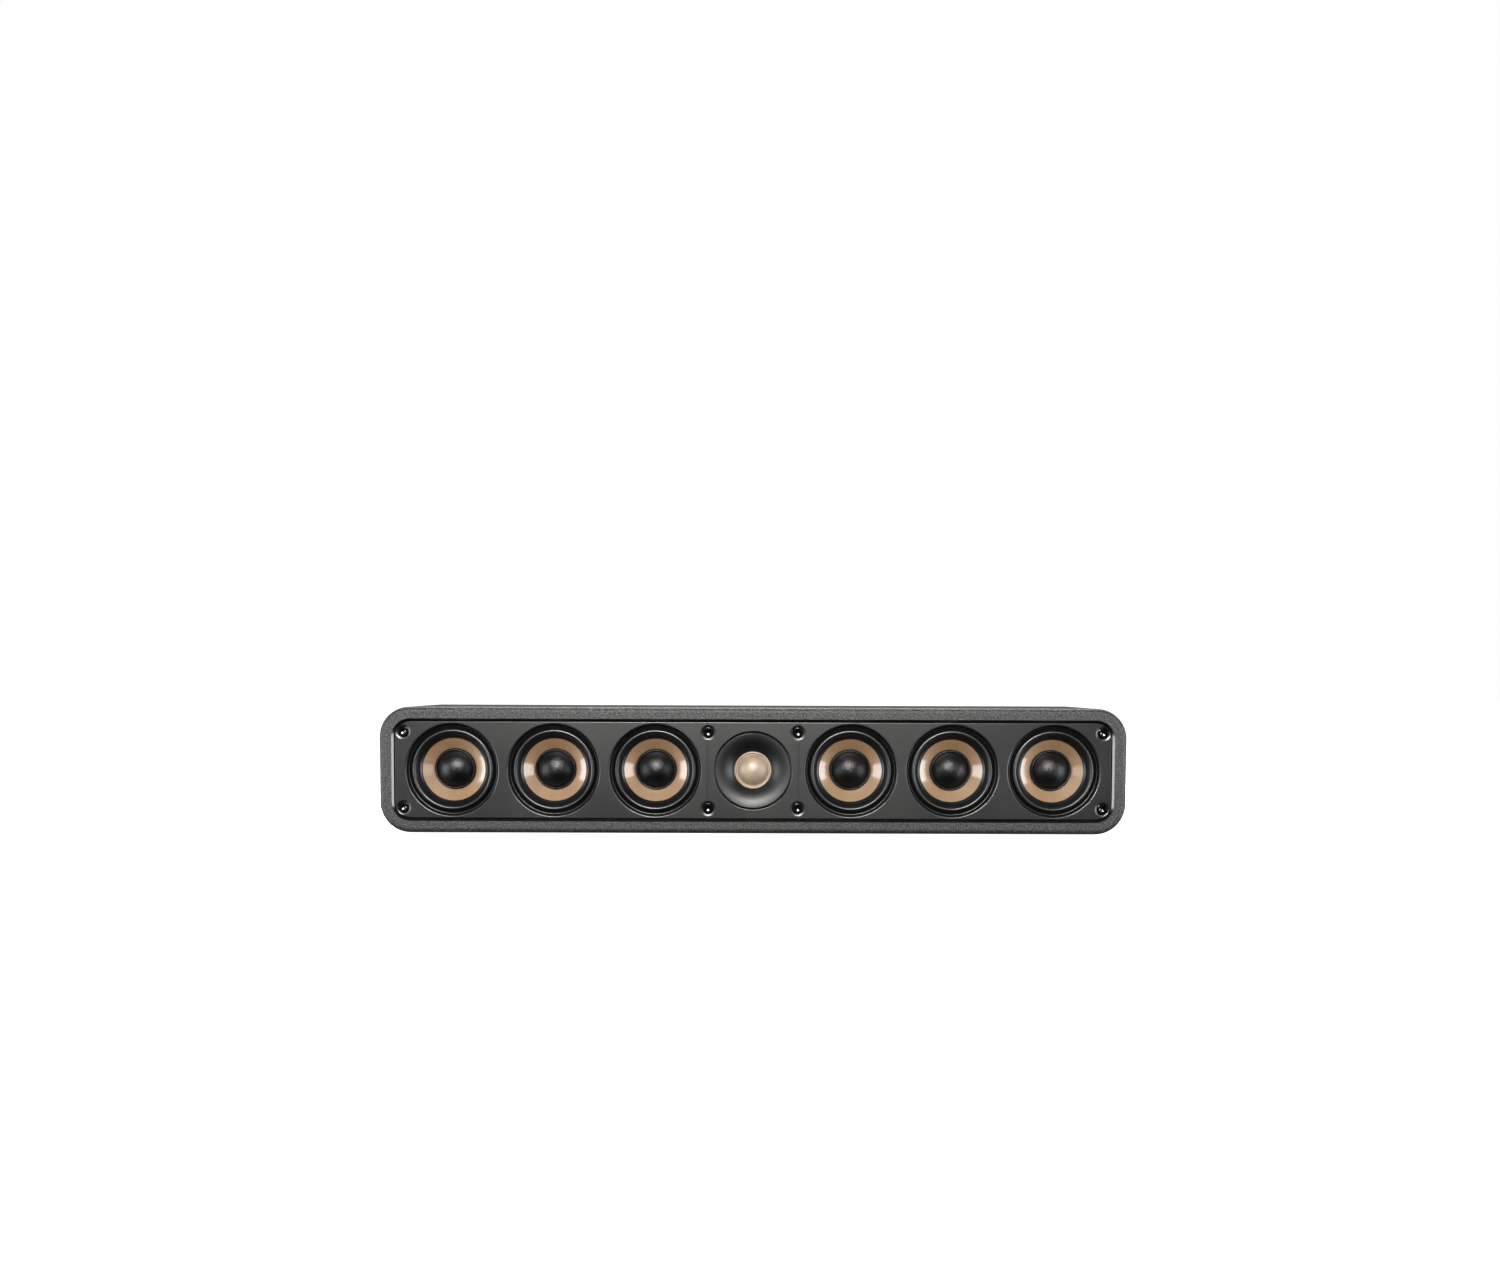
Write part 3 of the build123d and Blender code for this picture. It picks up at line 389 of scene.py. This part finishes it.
def recess_mask(tree):
    """One inside the bevelled edge of the recess, below the face of the rim, and nothing on the rim."""
    low, high = zip(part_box("left_trim_panel"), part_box("right_trim_panel"))
    half_length = high[1].x + BEVEL_WIDTH
    half_height = (high[0].z - low[0].z) / 2 + BEVEL_WIDTH
    middle = (high[0].z + low[0].z) / 2
    place = tree.nodes.new("ShaderNodeSeparateXYZ")
    tree.links.new(tree.nodes.new("ShaderNodeTexCoord").outputs["Object"], place.inputs[0])
    along = math_node(tree, "ABSOLUTE", place.outputs["X"])
    up = math_node(tree, "ABSOLUTE", math_node(tree, "SUBTRACT", place.outputs["Z"], middle))
    inside = math_node(tree, "LESS_THAN", along, half_length)
    inside = math_node(tree, "MULTIPLY", inside, math_node(tree, "LESS_THAN", up, half_height))
    below = math_node(tree, "GREATER_THAN", place.outputs["Y"], cad_box[0].y + RIM_SKIN)
    return math_node(tree, "MULTIPLY", inside, below)


bevel = recess_mask(baffle_paint.tree)
rim_colour = baffle_paint.tint(droplets["Mask"], BAFFLE_DARK, BAFFLE_LIGHT)
baffle_paint.dusty(baffle_paint.tint(bevel, rim_colour, BEVEL_BLACK), BAFFLE_DUST)
rim_gloss = spread_node(
    baffle_paint.tree, droplets["Mask"], 0.0, 1.0, RIM_ROUGHNESS, DROPLET_ROUGHNESS
)
bevel_gloss = spread_node(baffle_paint.tree, bevel, 0.0, 1.0, rim_gloss, BEVEL_ROUGHNESS)
baffle_paint.link(bevel_gloss, "Roughness")
baffle_paint.link(bevel, "Coat Weight")
rim_only = math_node(baffle_paint.tree, "SUBTRACT", 1.0, bevel)
rim_height = math_node(baffle_paint.tree, "MULTIPLY", droplets["Height"], rim_only)
baffle_paint.bump(rim_height, DROPLET_RELIEF, DROPLET_STRENGTH)
baffle_paint.on("front_baffle")

# Each woofer hangs in a pressed steel basket, painted black, with a ferrite ring magnet glued behind it.
# The magnet is bare and rough as it comes from the kiln.
moulded(
    "basket paint",
    low=(0.004, 0.004, 0.004, 1),
    high=(0.006, 0.006, 0.006, 1),
    roughness=0.6,
    grain=900.0,
    relief=0.00003,
    Specular_IOR_Level=0.08,
).on(*(f"woofer_{n}_basket" for n in woofers))
moulded(
    "bare ferrite",
    low=(0.03, 0.03, 0.032, 1),
    high=(0.05, 0.05, 0.05, 1),
    roughness=0.6,
    grain=1300.0,
    relief=0.00006,
).on("woofer_magnets", "tweeter_magnet")

# The spider is a waved ring of impregnated yellow cloth, pressed hot and glued on the basket's shelf. It
# dips towards the coil that it centres, so the neck of the cone has room to come back.
SPIDER_DROP = 0.0020
SPIDER_RIM = 0.0030
SPIDER_SPAN = 0.0123
SPIDER_CLOTH = 0.0005
SPIDER_DIP = 0.0010
SPIDER_WAVE = 0.0003
SPIDER_WAVES = 5
SPIDER_POINTS = 40
SPIDER_STEPS = 72
SHARP_ANGLE = 30
woofer_low, woofer_high = zip(*(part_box(f"woofer_{n}_cone") for n in woofers))
woofer_x = [(low.x + high.x) / 2 for low, high in zip(woofer_low, woofer_high)]
axis_z = (woofer_low[0].z + woofer_high[0].z) / 2
spider_cloth = moulded(
    "impregnated cloth",
    low=(0.35, 0.22, 0.07, 1),
    high=(0.46, 0.3, 0.11, 1),
    roughness=0.75,
    grain=2600.0,
    relief=0.0002,
)


def turned_mesh(name, section, centre, steps):
    """A closed section of (radius, depth) turned about a driver's axis into a smooth mesh."""
    mesh = bpy.data.meshes.new(name)
    form = bmesh.new()
    rows = []
    for step in range(steps):
        angle = 2 * math.pi * step / steps
        around = Vector((math.cos(angle), 0.0, math.sin(angle)))
        row = [centre + radius * around + Vector((0, depth, 0)) for radius, depth in section]
        rows.append([form.verts.new(point) for point in row])
    for step in range(steps):
        here, there = rows[step], rows[(step + 1) % steps]
        for place in range(len(section)):
            after = (place + 1) % len(section)
            form.faces.new((here[place], here[after], there[after], there[place]))
    bmesh.ops.recalc_face_normals(form, faces=form.faces)
    form.to_mesh(mesh)
    form.free()
    for face in mesh.polygons:
        face.use_smooth = True
    mesh.set_sharp_from_angle(angle=math.radians(SHARP_ANGLE))
    piece = bpy.data.objects.new(name, mesh)
    bpy.context.scene.collection.objects.link(piece)
    return piece


def spider_section(outer, seat):
    """Section of the spider: a flat rim, and waves that dip towards the coil."""
    front = [(outer, seat - SPIDER_CLOTH)]
    for point in range(SPIDER_POINTS + 1):
        along = point / SPIDER_POINTS
        wave = SPIDER_WAVE * math.sin(2 * math.pi * SPIDER_WAVES * along)
        depth = seat - SPIDER_CLOTH + SPIDER_DIP * along + wave
        front.append((outer - SPIDER_RIM - SPIDER_SPAN * along, depth))
    return front + [(radius, depth + SPIDER_CLOTH) for radius, depth in reversed(front)]


spiders_low, spiders_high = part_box("woofer_spiders")
spider_outer = (spiders_high.z - spiders_low.z) / 2
for n, x in zip(woofers, woofer_x):
    section = spider_section(spider_outer, woofer_high[0].y + SPIDER_DROP)
    spider = turned_mesh(f"woofer_{n}_soft_spider", section, Vector((x, 0, axis_z)), SPIDER_STEPS)
    spider.data.materials.append(spider_cloth.material)
    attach(spider, "cabinet")
    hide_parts("woofer_spiders")

# The cone is moulded from tan filled plastic with a satin gloss. Its flow from the middle leaves faint
# rays and rings that show only where a light glances off it.
CONE_DEEP = (0.168, 0.104, 0.052, 1)
CONE_PALE = (0.188, 0.118, 0.061, 1)
CONE_ROUGHNESS = 0.52
CONE_RELIEF = 0.00003
CONE_RAYS = 16.0
CONE_RAY_WAVES = 45.0
CONE_RINGS = 2400.0


def driver_axis_group():
    """Radius and angle round the nearest woofer's axis, for finishes that run round it."""
    first = woofer_x[3]
    pitch = woofer_x[4] - woofer_x[3]
    group, take, give = shader_group(
        "round the woofer axis",
        {"First": first, "Pitch": pitch, "Height": axis_z},
        {"Radius": "NodeSocketFloat", "Angle": "NodeSocketFloat"},
    )
    place = group.nodes.new("ShaderNodeSeparateXYZ")
    group.links.new(group.nodes.new("ShaderNodeTexCoord").outputs["Object"], place.inputs[0])
    outward = math_node(group, "ABSOLUTE", place.outputs["X"])
    half = math_node(group, "MULTIPLY", take["Pitch"], 0.5)
    shifted = math_node(group, "ADD", math_node(group, "SUBTRACT", outward, take["First"]), half)
    across = math_node(group, "SUBTRACT", math_node(group, "FLOORED_MODULO", shifted, take["Pitch"]), half)
    up = math_node(group, "SUBTRACT", place.outputs["Z"], take["Height"])
    square = math_node(group, "MULTIPLY_ADD", across, across, math_node(group, "MULTIPLY", up, up))
    group.links.new(math_node(group, "SQRT", square), give["Radius"])
    group.links.new(math_node(group, "ARCTAN2", up, across), give["Angle"])
    return group


WOOFER_AXIS = driver_axis_group()
tan_cone = Finish("tan cone plastic", IOR=1.8, Coat_Weight=1.0, Coat_Roughness=0.14)
polar = tan_cone.group(WOOFER_AXIS)
spoke = tan_cone.tree.nodes.new("ShaderNodeCombineXYZ")
tan_cone.tree.links.new(math_node(tan_cone.tree, "MULTIPLY", polar["Angle"], CONE_RAYS), spoke.inputs["X"])
ray_waves = math_node(tan_cone.tree, "MULTIPLY", polar["Radius"], CONE_RAY_WAVES)
tan_cone.tree.links.new(ray_waves, spoke.inputs["Y"])
rays = noise_node(tan_cone.tree, spoke.outputs[0], 1.6, 3.0)
rings = tan_cone.tree.nodes.new("ShaderNodeTexNoise")
rings.noise_dimensions = "1D"
ring_waves = math_node(tan_cone.tree, "MULTIPLY", polar["Radius"], CONE_RINGS)
tan_cone.tree.links.new(ring_waves, rings.inputs["W"])
cone_texture = tan_cone.group(FINE_GRAIN, Scale=2200.0, Drift=60.0)
ray_mask = spread_node(tan_cone.tree, rays, 0.3, 0.7)
tan_cone.link(tan_cone.tint(ray_mask, CONE_DEEP, CONE_PALE), "Base Color")
tan_cone.link(
    spread_node(tan_cone.tree, rays, 0.25, 0.75, CONE_ROUGHNESS - 0.03, CONE_ROUGHNESS + 0.05), "Roughness"
)
cone_height = math_node(tan_cone.tree, "MULTIPLY_ADD", cone_texture["Grain"], 0.3, rings.outputs["Fac"])
tan_cone.bump(cone_height, CONE_RELIEF)
tan_cone.on(*(f"woofer_{n}_cone" for n in woofers))

# The dust cap is a pressed paper dome, sprayed matte black. It is glued on the cone over the coil, with a
# raised bead round it.
moulded(
    "dust cap paint",
    low=(0.001, 0.001, 0.0011, 1),
    high=(0.002, 0.002, 0.0021, 1),
    roughness=0.34,
    grain=1000.0,
    relief=0.00011,
    dust=0.02,
    Specular_IOR_Level=0.45,
).on(*(f"woofer_{n}_dust_cap" for n in woofers))

# The surround is a moulded rubber half roll. Its rim is glued on the basket with a step round it, and
# its land on the edge of the cone, so the inner edge travels with the cone.
ROLL_WIDTH = 0.0065
RIM_WIDTH = 0.0024
LAND_WIDTH = 0.0020
RUBBER = 0.0007
ROLL_CREST = 0.0039
CREST_RADIUS = 0.0018
STEP = 0.0006
STEP_WIDTH = 0.0004
STEP_ROUND = 0.0009
EDGE = 0.0002
LAND_SLOPE = 0.69
LAND_TIP = 0.0003
LAND_DIP = 0.00014
ROLL_LIP = 0.0006
BACK_LIP = 0.0004
CREST_FROM = 28
CREST_TO = 148
FLAT_FACE = 0.995
ROUND_STEPS = 160
surround_rubber = moulded(
    "surround rubber",
    low=(0.0025, 0.0025, 0.0025, 1),
    high=(0.004, 0.004, 0.004, 1),
    roughness=0.38,
    grain=1800.0,
    relief=0.00001,
    dust=0.02,
    Specular_IOR_Level=0.75,
)
rim_rubber = moulded(
    "matt rim rubber",
    low=(0.0025, 0.0025, 0.0025, 1),
    high=(0.004, 0.004, 0.004, 1),
    roughness=0.7,
    grain=1800.0,
    relief=0.00002,
    dust=0.02,
    Specular_IOR_Level=0.05,
)


def arc(middle, radius, start, end, steps):
    """Points on an arc in the (radius, depth) plane, with 0 degrees outwards and 90 to the front."""
    points = []
    for step in range(steps + 1):
        angle = math.radians(start + (end - start) * step / steps)
        points.append((middle[0] + radius * math.cos(angle), middle[1] - radius * math.sin(angle)))
    return points


def surround_section(rim_radius, crest, land_back):
    """Section of the surround, from its rim over the step and the roll to the land, and back behind."""
    roll_outer = rim_radius - RIM_WIDTH
    roll_inner = roll_outer - ROLL_WIDTH
    seat = crest + ROLL_WIDTH / 2
    middle = (roll_inner + ROLL_CREST, crest + CREST_RADIUS)
    rim_front = seat - RUBBER
    step_front = rim_front - STEP
    step_edge = rim_radius - STEP_WIDTH
    land_edge = roll_inner - LAND_WIDTH
    slope = LAND_SLOPE * LAND_WIDTH
    land_front = land_back - RUBBER
    front = [(rim_radius, seat), (rim_radius, step_front + EDGE), (rim_radius - EDGE, step_front)]
    front += arc((step_edge, step_front + STEP_ROUND), STEP_ROUND, 90, 130, 10)
    front += [(step_edge - 0.64 * STEP_ROUND, rim_front), (roll_outer, rim_front)]
    front += arc(middle, CREST_RADIUS, CREST_FROM, CREST_TO, 40)
    front += [(roll_inner, land_front - slope - ROLL_LIP)]
    front += [(roll_inner - EDGE, land_front - slope + LAND_DIP)]
    front += [(land_edge + LAND_TIP, land_front - EDGE)]
    back = [(land_edge, land_front + RUBBER / 2), (land_edge + EDGE, land_back)]
    back += [(roll_inner + RUBBER, land_back - slope - BACK_LIP)]
    back += arc(middle, CREST_RADIUS - RUBBER, CREST_TO, CREST_FROM, 20)
    back += [(roll_outer - RUBBER, seat)]
    return front + back


for n, x in zip(woofers, woofer_x):
    low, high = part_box(f"woofer_{n}_surround")
    section = surround_section((high.x - low.x) / 2, low.y, high.y)
    surround = turned_mesh(f"woofer_{n}_soft_surround", section, Vector((x, 0, axis_z)), ROUND_STEPS)
    surround.data.materials.append(surround_rubber.material)
    surround.data.materials.append(rim_rubber.material)
    for face in surround.data.polygons:
        outward = math.hypot(face.center.x - x, face.center.z - axis_z)
        if outward > (high.x - low.x) / 2 - RIM_WIDTH and face.normal.y < -FLAT_FACE:
            face.material_index = 1
    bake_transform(surround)
    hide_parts(f"woofer_{n}_surround")

# The tweeter's dome and roll are formed from one thin sheet with a pale gold satin finish, clamped
# behind the throat of a satin black moulded waveguide.
GOLD_DEEP = (0.189, 0.145, 0.101, 1)
GOLD_PALE = (0.221, 0.172, 0.123, 1)
GOLD_SATIN = 0.44
GOLD_DULL = 0.5
GOLD_RELIEF = 0.00003
gold_dome = Finish("gold dome", IOR=1.75)
gold_texture = gold_dome.group(FINE_GRAIN, Scale=2600.0, Drift=120.0)
gold_dome.link(gold_dome.tint(gold_texture["Drift"], GOLD_DEEP, GOLD_PALE), "Base Color")
gold_gloss = spread_node(gold_dome.tree, gold_texture["Drift"], 0.0, 1.0, GOLD_SATIN, GOLD_DULL)
gold_dome.link(gold_gloss, "Roughness")
gold_dome.bump(gold_texture["Grain"], GOLD_RELIEF)
gold_dome.on("tweeter_dome")
moulded(
    "waveguide plastic",
    low=(0.0015, 0.0015, 0.0015, 1),
    high=(0.0025, 0.0025, 0.0025, 1),
    roughness=0.45,
    grain=1500.0,
    relief=0.00001,
    dust=0.02,
    Specular_IOR_Level=0.6,
).on("tweeter_faceplate")

# The trim panels are moulded with a satin dark grey paint, chamfered round every hole and edge, and
# held by recessed socket screws.
PANEL_DEEP = (0.004, 0.004, 0.004, 1)
PANEL_PALE = (0.006, 0.006, 0.0058, 1)
moulded(
    "satin panel paint",
    low=PANEL_DEEP,
    high=PANEL_PALE,
    roughness=0.4,
    grain=1600.0,
    relief=0.00001,
    dust=0.02,
    Coat_Weight=0.4,
    Coat_Roughness=0.3,
).on("left_trim_panel", "tweeter_trim_panel", "right_trim_panel")

# The feet are four thin discs of black rubber, cut from sheet and stuck under the cabinet near its
# corners.
moulded(
    "foot rubber",
    low=(0.012, 0.012, 0.012, 1),
    high=(0.018, 0.018, 0.018, 1),
    roughness=0.7,
    grain=1200.0,
    relief=0.00005,
).on("rubber_feet")

# The studio has a pale floor, a wide soft light above the camera with a bright middle, a bluish one close
# by at each end, one behind, and a white wall. The room in front is dim. The floor gives back little light
# in front, stays out of reflections, and can be seen through from below.
FLOOR_SIZE = 30.0
FLOOR_DEEP = (0.86, 0.86, 0.86, 1)
FLOOR_PALE = (0.9, 0.9, 0.9, 1)
FLOOR_SHOWN = 0.95
BOUNCE_FRONT = 0.12
BOUNCE_BEHIND = 0.7
BOUNCE_TURN = 0.4
ROOM_DIM = 0.02
WALL_WHITE = 0.66
WALL_TURN = 0.6
WARM_WHITE = (1.0, 0.985, 0.96)
COOL_WHITE = (0.9, 0.95, 1.0)
front_centre = Vector((0.0, cad_box[0].y, axis_z))

floor_mesh = bpy.data.meshes.new("floor")
corner = FLOOR_SIZE / 2
floor_corners = [(-corner, -corner, 0), (corner, -corner, 0), (corner, corner, 0), (-corner, corner, 0)]
floor_mesh.from_pydata(floor_corners, [], [(0, 1, 2, 3)])
floor = bpy.data.objects.new("floor", floor_mesh)
bpy.context.scene.collection.objects.link(floor)
pale_floor = Finish("pale floor", Roughness=0.9, Specular_IOR_Level=0.0, Emission_Color=(1, 1, 1, 1))
floor_grain = pale_floor.group(FINE_GRAIN, Scale=120.0, Drift=2.0)
floor_seen = pale_floor.tree.nodes.new("ShaderNodeLightPath").outputs["Is Camera Ray"]
floor_tone = pale_floor.tint(floor_grain["Drift"], FLOOR_DEEP, FLOOR_PALE)
floor_place = pale_floor.tree.nodes.new("ShaderNodeSeparateXYZ")
floor_coordinates = pale_floor.tree.nodes.new("ShaderNodeTexCoord")
pale_floor.tree.links.new(floor_coordinates.outputs["Object"], floor_place.inputs[0])
floor_bounce = spread_node(
    pale_floor.tree, floor_place.outputs["Y"], 0.0, BOUNCE_TURN, BOUNCE_FRONT, BOUNCE_BEHIND
)
pale_floor.link(pale_floor.tint(floor_seen, floor_bounce, floor_tone), "Base Color")
floor_under = pale_floor.tree.nodes.new("ShaderNodeNewGeometry").outputs["Backfacing"]
pale_floor.link(math_node(pale_floor.tree, "SUBTRACT", 1.0, floor_under), "Alpha")
pale_floor.link(math_node(pale_floor.tree, "MULTIPLY", floor_seen, FLOOR_SHOWN), "Emission Strength")
floor_mesh.materials.append(pale_floor.material)
floor.visible_glossy = False
floor.visible_shadow = False


def soft_light(name, azimuth, elevation, distance, width, height, radiance, colour):
    """A rectangular soft light that faces the middle of the speaker's front."""
    data = bpy.data.lights.new(name, "AREA")
    data.shape = "RECTANGLE"
    data.size = width
    data.size_y = height
    data.energy = radiance * math.pi * width * height
    data.color = colour
    light = bpy.data.objects.new(name, data)
    a = math.radians(azimuth)
    e = math.radians(elevation)
    towards = Vector((math.sin(a) * math.cos(e), -math.cos(a) * math.cos(e), math.sin(e)))
    light.location = front_centre + distance * towards
    light.rotation_euler = towards.to_track_quat("Z", "Y").to_euler()
    bpy.context.scene.collection.objects.link(light)
    return light


soft_light(
    "top_light",
    azimuth=-3,
    elevation=23.5,
    distance=1.45,
    width=0.5,
    height=0.34,
    radiance=80.0,
    colour=WARM_WHITE,
)
soft_light(
    "top_wings",
    azimuth=-3,
    elevation=23.5,
    distance=1.48,
    width=2.0,
    height=0.34,
    radiance=3.8,
    colour=WARM_WHITE,
)
soft_light(
    "left_light",
    azimuth=-69,
    elevation=-2.0,
    distance=0.91,
    width=0.6,
    height=0.5,
    radiance=9.5,
    colour=COOL_WHITE,
)
soft_light(
    "rear_light",
    azimuth=180,
    elevation=62.0,
    distance=1.5,
    width=1.4,
    height=0.5,
    radiance=20.0,
    colour=(1.0, 0.99, 0.97),
)
soft_light(
    "right_light",
    azimuth=69,
    elevation=-2.0,
    distance=0.91,
    width=0.6,
    height=0.5,
    radiance=9.5,
    colour=COOL_WHITE,
)

world = bpy.data.worlds.new("studio")
world.use_nodes = True
bpy.context.scene.world = world
room = world.node_tree
backdrop = room.nodes["Background"]
direction = room.nodes.new("ShaderNodeSeparateXYZ")
room.links.new(room.nodes.new("ShaderNodeTexCoord").outputs["Generated"], direction.inputs[0])
behind = spread_node(room, direction.outputs["Y"], 0.0, WALL_TURN, ROOM_DIM, WALL_WHITE)
seen = room.nodes.new("ShaderNodeLightPath").outputs["Is Camera Ray"]
room.links.new(math_node(room, "MAXIMUM", behind, seen), backdrop.inputs["Strength"])
backdrop.inputs["Color"].default_value = (1, 1, 1, 1)

# The camera stands a little above the speaker, square to its front, with a long normal lens. A gamma below
# one deepens the picture's contrast.
CAMERA_DISTANCE = 1.35
CAMERA_ELEVATION = 3.0
CAMERA_ROLL = 0.19
FRONT_SCALE = 1224.3
SENSOR_WIDTH = 36.0
FRAME_WIDTH = 1500.0
FRAME_HEIGHT = 1280.0
SPEAKER_AT = (753.0, 770.8)
PICTURE_GAMMA = 0.8

lens = bpy.data.cameras.new("camera")
lens.sensor_width = SENSOR_WIDTH
lens.lens = FRONT_SCALE * CAMERA_DISTANCE / FRAME_WIDTH * SENSOR_WIDTH
lens.shift_x = (FRAME_WIDTH / 2 - SPEAKER_AT[0]) / FRAME_WIDTH
lens.shift_y = (SPEAKER_AT[1] - FRAME_HEIGHT / 2) / FRAME_WIDTH
camera = bpy.data.objects.new("camera", lens)
lift = math.radians(CAMERA_ELEVATION)
back = Vector((0, -math.cos(lift), math.sin(lift)))
camera.location = front_centre + CAMERA_DISTANCE * back
turn = back.to_track_quat("Z", "Y").to_matrix() @ Matrix.Rotation(math.radians(CAMERA_ROLL), 3, "Z")
camera.rotation_euler = turn.to_euler()
bpy.context.scene.collection.objects.link(camera)
bpy.context.scene.camera = camera
bpy.context.scene.view_settings.view_transform = "Standard"
bpy.context.scene.view_settings.gamma = PICTURE_GAMMA
